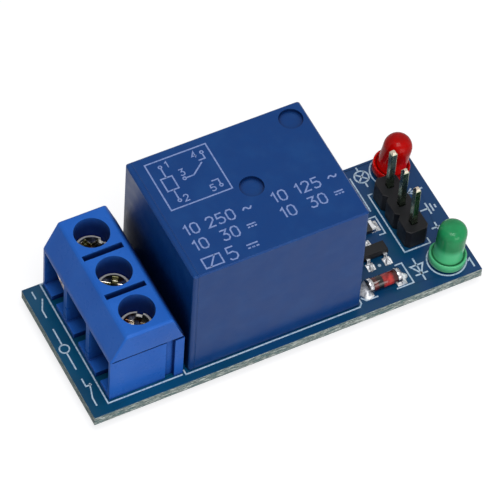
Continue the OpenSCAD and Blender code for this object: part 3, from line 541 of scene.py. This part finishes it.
def make_materials():
    """Every finish, keyed by the record's material slot or by its own name."""
    return {
        "board_laminate": board_laminate(),
        "solder": solder(),
        "terminal_plastic": terminal_plastic(),
        "tinned_brass": metal("tinned_brass", srgb(196, 170, 156), srgb(232, 216, 206), 0.28),
        "plated_steel": metal("plated_steel", srgb(170, 170, 172), srgb(214, 214, 216), 0.3),
        "screw_steel": screw_steel(),
        "relay_plastic": relay_plastic(),
        "relay_base_plastic": moulded("relay_base_plastic", srgb(22, 24, 30), srgb(34, 36, 42), 0.5),
        "bobbin_plastic": moulded("bobbin_plastic", srgb(196, 190, 172), srgb(210, 204, 188), 0.5),
        "copper_wire": copper_wire(),
        "soft_iron": metal("soft_iron", srgb(120, 118, 116), srgb(168, 167, 165), 0.38),
        "spring_bronze": metal("spring_bronze", srgb(170, 120, 70), srgb(206, 158, 100), 0.3),
        "silver": metal("silver", srgb(190, 190, 190), srgb(232, 232, 230), 0.22),
        "contact_brass": metal("contact_brass", srgb(176, 140, 70), srgb(214, 182, 110), 0.28),
        "header_plastic": moulded("header_plastic", srgb(13, 13, 16), srgb(20, 20, 24), 0.46),
        "header_gold": pin_gold(),
        "red_epoxy": lamp_epoxy("red_epoxy", "red_lamp_lens", srgb(186, 6, 4),
                                srgb(220, 14, 8), srgb(190, 18, 14), 0.03),
        "green_epoxy": lamp_epoxy("green_epoxy", "green_lamp_lens", srgb(40, 156, 96),
                                  srgb(88, 204, 142), srgb(88, 192, 134), 0.12),
        "tinned_steel": metal("tinned_steel", srgb(172, 174, 178), srgb(222, 223, 226), 0.24),
        "diode_glass": diode_glass(),
        "diode_stud_metal": metal("diode_stud_metal", srgb(140, 60, 40), srgb(180, 96, 70), 0.35),
        "transistor_plastic": moulded("transistor_plastic", srgb(24, 24, 26), srgb(36, 36, 38), 0.5),
        "resistor_ceramic": ceramic(),
        "diode_cap_tin": diode_cap_tin(),
        "board_ink": ink("board_ink", srgb(182, 200, 216), srgb(126, 158, 186)),
        "relay_ink": ink("relay_ink", srgb(134, 152, 200), srgb(96, 122, 178)),
    }


# Filled once the studio stands
MATERIALS = {}


# ---- dressing the CAD nodes ------------------------------------------------------

OWN_FINISH = {"diode_caps": "diode_cap_tin"}
# Width of each node's softened edges in millimetres, and of all the others'
BEVELS = {
    "relay_cover": 0.0, "circuit_board": 0.05, "header_insulator": 0.07,
    "header_pins": 0.05, "transistor_body": 0.06, "transistor_legs": 0.03,
    "resistor_bodies": 0.03, "resistor_ends": 0.04, "diode_caps": 0.06, "relay_base": 0.1,
}
BEVELS.update({f"terminal_{part}_{i}": 0.05 for part in ("screw", "frame") for i in (1, 2, 3)})
OTHER_BEVEL = 0.02


def soften(obj, width):
    """Joins the faces again and rounds the sharp edges a little."""
    weld = obj.modifiers.new("weld", "WELD")
    weld.merge_threshold = 0.001 * MM
    if width:
        bevel = obj.modifiers.new("bevel", "BEVEL")
        bevel.width = width * MM
        bevel.segments = 2
        bevel.limit_method = "ANGLE"
        bevel.angle_limit = math.radians(32)
        bevel.use_clamp_overlap = False
        bevel.miter_outer = "MITER_ARC"
    normals = obj.modifiers.new("normals", "WEIGHTED_NORMAL")
    normals.keep_sharp = True


def dress_nodes():
    """Gives each CAD node the finish of its material slot and softened edges."""
    slots = {part["node"]: part["material_slot"] for part in frame["record"]["subparts"]}
    for name, obj in NODES.items():
        obj.data.materials.clear()
        obj.data.materials.append(MATERIALS[OWN_FINISH.get(name, slots[name])])
        soften(obj, BEVELS.get(name, OTHER_BEVEL))


def piece(name, bm, material, smooth=True):
    """Turns a bmesh into a piece that rides on the board."""
    bmesh.ops.recalc_face_normals(bm, faces=bm.faces)
    mesh = bpy.data.meshes.new(name)
    bm.to_mesh(mesh)
    bm.free()
    for face in mesh.polygons:
        face.use_smooth = smooth
    mesh.materials.append(material)
    obj = link(bpy.data.objects.new(name, mesh))
    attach(obj, "board")
    return obj


# ---- printed marks ---------------------------------------------------------------

BOARD_INK, RELAY_INK = 0.02, 0.004

def offset_sides(points, width, closed):
    """Points to the left and right of a line, mitred at its corners."""
    left, right = [], []
    count = len(points)
    for i, p in enumerate(points):
        before = points[i - 1] if closed or i else None
        after = points[(i + 1) % count] if closed or i < count - 1 else None
        ahead = (after - p).normalized() if after is not None else (p - before).normalized()
        behind = (p - before).normalized() if before is not None else ahead
        normal = Vector((-(ahead.y + behind.y), ahead.x + behind.x)).normalized()
        cosine = max(0.35, abs(normal.dot(Vector((-ahead.y, ahead.x)))))
        reach = width / 2 / cosine
        left.append(p + normal * reach)
        right.append(p - normal * reach)
    return left, right


def ribbon(bm, points, width, low, high, closed=False):
    """A flat closed strip of ink along a line of (x, y) points in millimetres."""
    flat = [Vector(p) for p in points]
    left, right = offset_sides(flat, width, closed)
    rows = []
    for a, b in zip(left, right):
        rows.append([bm.verts.new(Vector((p.x, p.y, z)) * MM)
                     for p, z in ((a, high), (b, high), (b, low), (a, low))])
    spans = list(zip(rows, rows[1:]))
    if closed:
        spans.append((rows[-1], rows[0]))
    for first, second in spans:
        for k in range(4):
            bm.faces.new((first[k], first[(k + 1) % 4], second[(k + 1) % 4], second[k]))
    if not closed:
        bm.faces.new(rows[0])
        bm.faces.new(rows[-1][::-1])


def arc(x, y, r, start=0.0, end=360.0, steps=40):
    """Points of an arc in millimetres; a whole circle leaves its last point out."""
    count = steps if abs(end - start) >= 360 else steps + 1
    turns = [math.radians(start + (end - start) * i / steps) for i in range(count)]
    return [(x + r * math.cos(t), y + r * math.sin(t)) for t in turns]


# Strokes of plain numbers and electrical marks, in a box 1 high
STROKES = {
    "0": [[(0.15, 0), (0, 0.2), (0, 0.8), (0.15, 1), (0.45, 1), (0.6, 0.8), (0.6, 0.2),
           (0.45, 0), (0.15, 0)]],
    "1": [[(0.12, 0.78), (0.38, 1), (0.38, 0)]],
    "2": [[(0, 0.8), (0.15, 1), (0.45, 1), (0.6, 0.82), (0.58, 0.6), (0, 0), (0.62, 0)]],
    "3": [[(0, 1), (0.56, 1), (0.26, 0.6), (0.46, 0.58), (0.6, 0.4), (0.6, 0.18), (0.45, 0),
           (0.15, 0), (0, 0.14)]],
    "4": [[(0.46, 0), (0.46, 1), (0, 0.3), (0.64, 0.3)]],
    "5": [[(0.56, 1), (0.06, 1), (0.02, 0.56), (0.4, 0.6), (0.6, 0.42), (0.6, 0.18),
           (0.42, 0), (0.12, 0), (0, 0.14)]],
    "~": [[(0, 0.42), (0.16, 0.62), (0.34, 0.62), (0.5, 0.42), (0.66, 0.42), (0.82, 0.62)]],
    "=": [[(0, 0.64), (0.8, 0.64)], [(0, 0.38), (0.2, 0.38)], [(0.3, 0.38), (0.5, 0.38)],
          [(0.6, 0.38), (0.8, 0.38)]],
    " ": [],
}
SPACING = {" ": 0.5, "~": 1.1, "=": 1.1, "1": 0.72}


class Print:
    """Ink lines on a flat face at height z (metres), drawn in millimetres."""

    ROOT = 0.01

    def __init__(self, name, z, material, thickness):
        self.name, self.material = name, material
        self.low = z / MM - self.ROOT
        self.high = z / MM + thickness
        self.bm = bmesh.new()

    def line(self, points, width=0.15, closed=False):
        ribbon(self.bm, points, width, self.low, self.high, closed)

    def ring(self, x, y, r, width=0.15, start=0, end=360):
        self.line(arc(x, y, r, start, end), width, closed=abs(end - start) >= 360)

    def write(self, text, x, y, height, width=0.16):
        """Numbers along +X that stand up towards +Y."""
        for mark in text:
            for stroke in STROKES[mark]:
                self.line([(x + a * height, y + b * height) for a, b in stroke], width)
            x += SPACING.get(mark, 0.9) * height

    def done(self):
        piece(self.name, self.bm, MATERIALS[self.material], smooth=False)


def print_terminal_marks(p):
    """Outline of the block and the sign of each contact beside its terminal."""
    left, right = BLOCK_LOW.x / MM - 0.22, BLOCK_HIGH.x / MM - 0.1
    low, high = BLOCK_LOW.y / MM - 0.175, BLOCK_HIGH.y / MM + 0.125
    p.line([(right, high), (left, high), (left, low), (right, low)])
    x = BOARD_LOW.x / MM + 0.85
    p.line([(x, 7.9), (x, 6.9)])
    p.line([(x, 4.4), (x, 5.4), (x + 0.62, 6.7)])
    p.line([(x, 2.9), (x, 0.75)])
    p.ring(x, 0.25, 0.5)
    p.line([(x, -0.25), (x, -2.5)])
    p.line([(x, -3.7), (x, -4.7), (x + 0.62, -4.7)])
    p.line([(x, -7.2), (x, -6.2), (x + 0.5, -4.5)])


def print_relay_outline(p):
    """The line along the relay's near side, turned up at its ends."""
    low = RELAY_LOW.y / MM - 0.2
    left = RELAY_LOW.x / MM - 0.35
    right = RELAY_HIGH.x / MM - 0.1
    p.line([(left, low + 0.6), (left, low), (right, low), (right + 0.35, low + 0.35),
            (right + 0.35, low + 1.2)])


def print_driver_marks(p):
    """Boxes round the header, the diode and the chips, and the signs beside them."""
    left, low = HEADER_LOW.x / MM - 0.28, HEADER_LOW.y / MM - 0.22
    right, high = HEADER_HIGH.x / MM + 0.16, HEADER_HIGH.y / MM + 0.1
    p.line([(left + 0.5, high), (left, high), (left, low), (right, low), (right, low + 0.7)])
    p.line([(14.7, 7.2), (14.7, 2.6)])
    p.line([(12.7, 1.86), (14.8, 1.86), (14.78, -0.42), (14.1, -0.42)])
    p.line([(8.75, -6.6), (9.15, -7.1), (10.46, -7.1)])
    p.line([(12.58, -7.1), (14.5, -7.1), (14.5, -4.45), (13.7, -4.45)])
    p.ring(12.34, -3.79, 0.09, 0.17)


def print_lamp_marks(p):
    """Rings round the lamps, with a lamp sign and a diode sign beside them."""
    for node, start, end in (("green_lamp_lens", 0, 360), ("red_lamp_lens", 118, 322)):
        p.ring(LAMP_X, LAMP_Y[node], RIM_R + 0.07, 0.16, start, end)
    x, y, r = 15.9, 6.9, 0.75
    p.ring(x, y, r, 0.17)
    for side in (-1, 1):
        c, d = side * r * math.sqrt(0.5), r * math.sqrt(0.5)
        p.line([(x - c, y - d), (x + c, y + d)], 0.17)
    p.line([(x, y + 0.8), (x, y + 1.3)], 0.17)
    p.line([(x, y - 0.8), (x, y - 1.4)], 0.17)
    x, y = 15.75, -5.8
    p.line([(x, y + 1.4), (x, y - 1.5)], 0.17)
    p.line([(x - 0.7, y + 0.5), (x + 0.7, y + 0.5), (x, y - 0.6)], 0.17, closed=True)
    p.line([(x - 0.7, y - 0.66), (x + 0.7, y - 0.66)], 0.17)
    p.write("1", 20.6, -7.9, 1.1, 0.17)


def print_header_marks(p):
    """Arrow, earth and plus beside the three pins."""
    x = 19.3
    p.line([(x + 1.6, 3.1), (x, 3.1)], 0.18)
    p.line([(x + 0.5, 3.5), (x, 3.1), (x + 0.5, 2.7)], 0.18)
    for step, half in ((0.9, 0.75), (1.3, 0.5), (1.7, 0.22)):
        p.line([(x + step, 0.5 - half), (x + step, 0.5 + half)], 0.18)
    p.line([(x + 0.9, 0.5), (x, 0.5)], 0.18)
    p.line([(x, -1.95), (x + 1.3, -1.95)], 0.18)
    p.line([(x + 0.65, -2.6), (x + 0.65, -1.3)], 0.18)


def print_board():
    """All the print on the board, as one piece."""
    p = Print("board_print", BOARD_TOP, "board_ink", BOARD_INK)
    print_terminal_marks(p)
    print_relay_outline(p)
    print_driver_marks(p)
    print_lamp_marks(p)
    print_header_marks(p)
    p.done()


def print_relay():
    """Contact diagram and plain ratings on the relay's cover."""
    p = Print("relay_print", RELAY_HIGH.z, "relay_ink", RELAY_INK)
    p.line([(-9.2, 0.9), (-2.6, 0.9), (-2.6, 6.9), (-9.2, 6.9)], closed=True)
    p.line([(-8.5, 3.1), (-7.3, 3.1), (-7.3, 4.7), (-8.5, 4.7)], closed=True)
    p.line([(-7.9, 4.7), (-7.9, 5.9)])
    p.line([(-7.9, 3.1), (-7.9, 1.9)])
    p.line([(-6.1, 3.9), (-5.3, 3.9), (-3.9, 5.0)])
    p.line([(-4.1, 5.3), (-3.4, 5.3), (-3.4, 5.9)])
    p.line([(-4.1, 2.5), (-3.4, 2.5), (-3.4, 1.9)])
    for x, y in ((-7.9, 6.1), (-7.9, 1.7), (-6.3, 3.9), (-3.4, 6.1), (-3.4, 1.7)):
        p.ring(x, y, 0.16, 0.13)
    for mark, x, y in (("1", -7.4, 5.75), ("2", -7.4, 1.35), ("3", -6.45, 4.3),
                       ("4", -4.5, 5.75), ("5", -4.5, 1.35)):
        p.write(mark, x, y, 0.75, 0.12)
    for x, rating in ((-9.3, "10 250 ~"), (0.2, "10 125 ~")):
        p.write(rating, x, -2.5, 1.2)
        p.write("10  30 =", x, -4.5, 1.2)
    p.line([(-9.2, -6.75), (-7.3, -6.75), (-7.3, -5.55), (-9.2, -5.55)], 0.16, closed=True)
    p.line([(-8.7, -6.75), (-7.8, -5.55)], 0.16)
    p.write("5 =", -6.6, -6.85, 1.5)
    p.done()


# ---- terminal housing ------------------------------------------------------------

# How far the roof's slopes run in from the front and the back
ROOF_FRONT = 1.6 * MM
ROOF_BACK = 1.3 * MM
GABLE_RADIUS = 0.34 * MM
INNER_RADIUS = 0.035 * MM
GROOVE_HEIGHT = 0.34 * MM
GROOVE_START = 0.25 * MM


def applied(obj):
    """The object's mesh with its modifiers applied, as a new bmesh; the object goes."""
    depsgraph = bpy.context.evaluated_depsgraph_get()
    bm = bmesh.new()
    bm.from_object(obj, depsgraph)
    bpy.data.objects.remove(obj)
    return bm


def weigh_edges(bm, weight_of):
    """Sets how much of the bevel each edge gets, from 0 to 1."""
    layer = bm.edges.layers.float.new("bevel_weight_edge")
    for edge in bm.edges:
        edge[layer] = weight_of(edge)


def helper(name, bm):
    """An object to cut with, which is removed once the cut is applied."""
    mesh = bpy.data.meshes.new(name)
    bm.to_mesh(mesh)
    bm.free()
    return link(bpy.data.objects.new(name, mesh))


def bevelled(name, bm, width, segments):
    """A helper object with a weighted bevel."""
    obj = helper(name, bm)
    bevel = obj.modifiers.new("bevel", "BEVEL")
    bevel.width = width
    bevel.segments = segments
    bevel.limit_method = "WEIGHT"
    bevel.use_clamp_overlap = False
    bevel.miter_outer = "MITER_ARC"
    return obj


def rounding_shell():
    """A convex prism just outside the block whose roof and gable edges are rounded."""
    gap = 0.004 * MM
    x0, x1 = BLOCK_LOW.x - gap, BLOCK_HIGH.x + gap
    bottom, top = BLOCK_LOW.z - MM, BLOCK_HIGH.z + gap
    outline = [(x0, bottom), (x0, SHOULDER), (x0 + ROOF_FRONT, top),
               (x1 - ROOF_BACK, top), (x1, SHOULDER), (x1, bottom)]
    bm = bmesh.new()
    ends = [[bm.verts.new((x, y, z)) for x, z in outline]
            for y in (BLOCK_LOW.y - gap, BLOCK_HIGH.y + gap)]
    bm.faces.new(ends[0])
    bm.faces.new(ends[1][::-1])
    for i in range(len(outline)):
        j = (i + 1) % len(outline)
        bm.faces.new((ends[0][j], ends[0][i], ends[1][i], ends[1][j]))
    bmesh.ops.recalc_face_normals(bm, faces=bm.faces)
    weigh_edges(bm, lambda edge: 1.0 if min(v.co.z for v in edge.verts) > bottom + MM else 0.0)
    return bevelled("rounding_shell", bm, GABLE_RADIUS, 5)


def gable_grooves():
    """Two thin bars that cut the shadow line between each gable and its end wall."""
    bm = bmesh.new()
    for y, inward in ((BLOCK_LOW.y, 1), (BLOCK_HIGH.y, -1)):
        size = Vector((BLOCK_HIGH.x - BLOCK_LOW.x, 0.8 * MM, GROOVE_HEIGHT))
        at = Vector((BLOCK_LOW.x + GROOVE_START + size.x / 2, y - inward * 0.06 * MM,
                     SHOULDER - size.z / 2))
        bmesh.ops.create_cube(bm, size=1, matrix=Matrix.LocRotScale(at, None, size))
    return helper("gable_grooves", bm)


def crisp_edge(edge):
    """Small radius for the inner edges; the roof's are left for the shell to cut."""
    if len(edge.link_faces) != 2 or edge.calc_face_angle() < math.radians(28):
        return 0.0
    a, b = (v.co for v in edge.verts)
    high = max(a.z, b.z) > SHOULDER + 0.1 * MM
    on_end = any(max(abs(a.y - y), abs(b.y - y)) < 0.01 * MM
                 for y in (BLOCK_LOW.y, BLOCK_HIGH.y))
    return 0.0 if high and (on_end or abs(a.y - b.y) > 10 * MM) else 1.0


def rounded_housing():
    """The moulded block with soft outer edges and crisp inner ones."""
    bm = bmesh.new()
    bm.from_mesh(NODES["terminal_housing"].data)
    bmesh.ops.remove_doubles(bm, verts=bm.verts, dist=0.001 * MM)
    bmesh.ops.dissolve_limit(bm, angle_limit=math.radians(1), verts=bm.verts, edges=bm.edges)
    weigh_edges(bm, crisp_edge)
    sharp = bevelled("sharp_block", bm, INNER_RADIUS, 2)
    cutters = {"INTERSECT": rounding_shell(), "DIFFERENCE": gable_grooves()}
    for operation, cutter in cutters.items():
        cut = sharp.modifiers.new("cut", "BOOLEAN")
        cut.operation = operation
        cut.solver = "MANIFOLD"
        cut.object = cutter
    block = piece("terminal_block", applied(sharp), MATERIALS["terminal_plastic"])
    for cutter in cutters.values():
        bpy.data.objects.remove(cutter)
    for edge in block.data.edges:
        edge.use_edge_sharp = False
    block.data.set_sharp_from_angle(angle=math.radians(30))
    normals = block.modifiers.new("normals", "WEIGHTED_NORMAL")
    normals.keep_sharp = True
    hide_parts("terminal_housing")


# ---- lamps -----------------------------------------------------------------------

LAMPS = {
    # node: lean, side lean, turn in degrees, and how square the dome is
    "red_lamp_lens": (6, 5, 0, 2.1),
    "green_lamp_lens": (4, 0, 180, 2.7),
}
# Millimetres; the flat is the distance from the axis to the cut side of the rim
LENS_R, LENS_H = 1.5, 5.3
RIM_R, RIM_H, RIM_FLAT = 1.95, 0.95, 1.65
RIM_CLEARANCE = 0.05
# How dark the painted shadow in the lamp's moat is, from 0 to 1
SEAM_PAINTED_SHADOW = 0.8
LATHE_STEPS = 64
DOME_STEPS = 12


def lens_profile(squareness):
    """(radius, height) points in millimetres from the rim's underside to the dome's tip."""
    rim = [(0, 0), (RIM_R - 0.1, 0), (RIM_R, 0.1), (RIM_R, RIM_H - 0.12),
           (RIM_R - 0.04, RIM_H - 0.04), (RIM_R - 0.12, RIM_H), (RIM_R - 0.17, RIM_H - 0.03)]
    seam = [(LENS_R + 0.18, RIM_H - 0.16), (LENS_R + 0.1, RIM_H - 0.18),
            (LENS_R + 0.07, RIM_H - 0.1)]
    collar = [(LENS_R + 0.05, RIM_H), (LENS_R + 0.03, RIM_H + 0.16), (LENS_R, RIM_H + 0.32)]
    points = rim + seam + collar
    dome = LENS_R if squareness < 2.4 else 1.3
    for i in range(DOME_STEPS + 1):
        turn = math.radians(90 * i / DOME_STEPS)
        points.append((LENS_R * max(0.0, math.cos(turn)) ** (2 / squareness),
                       LENS_H - dome + dome * math.sin(turn) ** (2 / squareness)))
    return points


def lathe(bm, profile):
    """Turns a profile round Z, cuts the rim's flat on the -Y side and marks the moat at its seam for
    a painted shadow.
    """
    seam = bm.verts.layers.float.new("seam")
    turns = [2 * math.pi * i / LATHE_STEPS for i in range(LATHE_STEPS)]
    rings = []
    for r, z in profile:
        around = turns if r > 0.001 else [0.0]
        ring = [bm.verts.new(mm(r * math.cos(t), max(-RIM_FLAT, r * math.sin(t)), z))
                for t in around]
        # the moat's vertices get the painted shadow's strength
        sunk = r < RIM_R - 0.2 and 0 < z < RIM_H - 0.08
        for vert in ring:
            vert[seam] = SEAM_PAINTED_SHADOW if sunk else 0.0
        rings.append(ring)
    for low, high in zip(rings, rings[1:]):
        for i in range(LATHE_STEPS):
            j = (i + 1) % LATHE_STEPS
            corners = [low[i % len(low)], low[j % len(low)],
                       high[j % len(high)], high[i % len(high)]]
            bm.faces.new(list(dict.fromkeys(corners)))


def lamp(node, name, material):
    """A 3 mm lamp's lens that leans as its legs do, in place of the CAD one."""
    lean, side_lean, turn, squareness = LAMPS[node]
    lean, side_lean = math.radians(lean), math.radians(side_lean)
    lift = (RIM_R * (math.sin(lean) + math.sin(side_lean)) + RIM_CLEARANCE) * MM
    place = (Matrix.Translation((LAMP_X * MM, LAMP_Y[node] * MM, BOARD_TOP))
             @ Matrix.Rotation(lean, 4, "Y") @ Matrix.Rotation(side_lean, 4, "X")
             @ Matrix.Translation((0, 0, lift))
             @ Matrix.Rotation(math.radians(turn), 4, "Z"))
    bm = bmesh.new()
    lathe(bm, lens_profile(squareness))
    bm.transform(place)
    lens = piece(name, bm, MATERIALS[material])
    lens.data.set_sharp_from_angle(angle=math.radians(50))
    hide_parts(node)


# ---- solder ----------------------------------------------------------------------

def blob(bm, x, y, rx, ry, height, seed):
    """A closed, uneven drop of solder on the board, in millimetres."""
    base = BOARD_TOP / MM - 0.01
    steps, levels, rings = 20, 7, []
    for k in range(levels):
        f = 1 - k / levels
        lift = height * (1 - f ** 1.6)
        ring = []
        for i in range(steps):
            t = 2 * math.pi * i / steps
            wave = 1 + 0.12 * math.sin(3 * t + seed) + 0.08 * math.sin(5 * t + 2.3 * seed)
            ring.append(bm.verts.new(mm(x + rx * f * wave * math.cos(t),
                                        y + ry * f * wave * math.sin(t), base + lift)))
        rings.append(ring)
    for low, high in zip(rings, rings[1:]):
        for i in range(steps):
            j = (i + 1) % steps
            bm.faces.new((low[i], low[j], high[j], high[i]))
    bm.faces.new(rings[0][::-1])
    bm.faces.new(rings[-1])


def solder_drops():
    """Drops that wet the ends of the diode, the transistor's legs and the chips."""
    x, y = DIODE_MID.x / MM, DIODE_MID.y / MM
    # each drop: x, y, half its length, half its width, height
    drops = [(x - 1.95, y - 0.25, 0.72, 0.8, 0.62), (x + 1.95, y + 0.1, 0.8, 0.78, 0.7)]
    drops += [(*pad, 0.34, 0.5, 0.42) for pad in TRANSISTOR_FRONT_PADS]
    drops.append((*TRANSISTOR_BACK_PAD, 0.36, 0.42, 0.42))
    chips = RESISTORS_MID.x / MM
    drops += [(chips + end * 1.12, chip_y, 0.3, 0.56, 0.46)
              for chip_y in RESISTOR_YS for end in (-1, 1)]
    bm = bmesh.new()
    for seed, drop in enumerate(drops):
        blob(bm, *drop, seed)
    piece("solder_drops", bm, MATERIALS["solder"])


make_camera()
make_studio()
MATERIALS.update(make_materials())
dress_nodes()
print_board()
print_relay()
rounded_housing()
lamp("red_lamp_lens", "red_lamp_body", "red_epoxy")
lamp("green_lamp_lens", "green_lamp_body", "green_epoxy")
solder_drops()
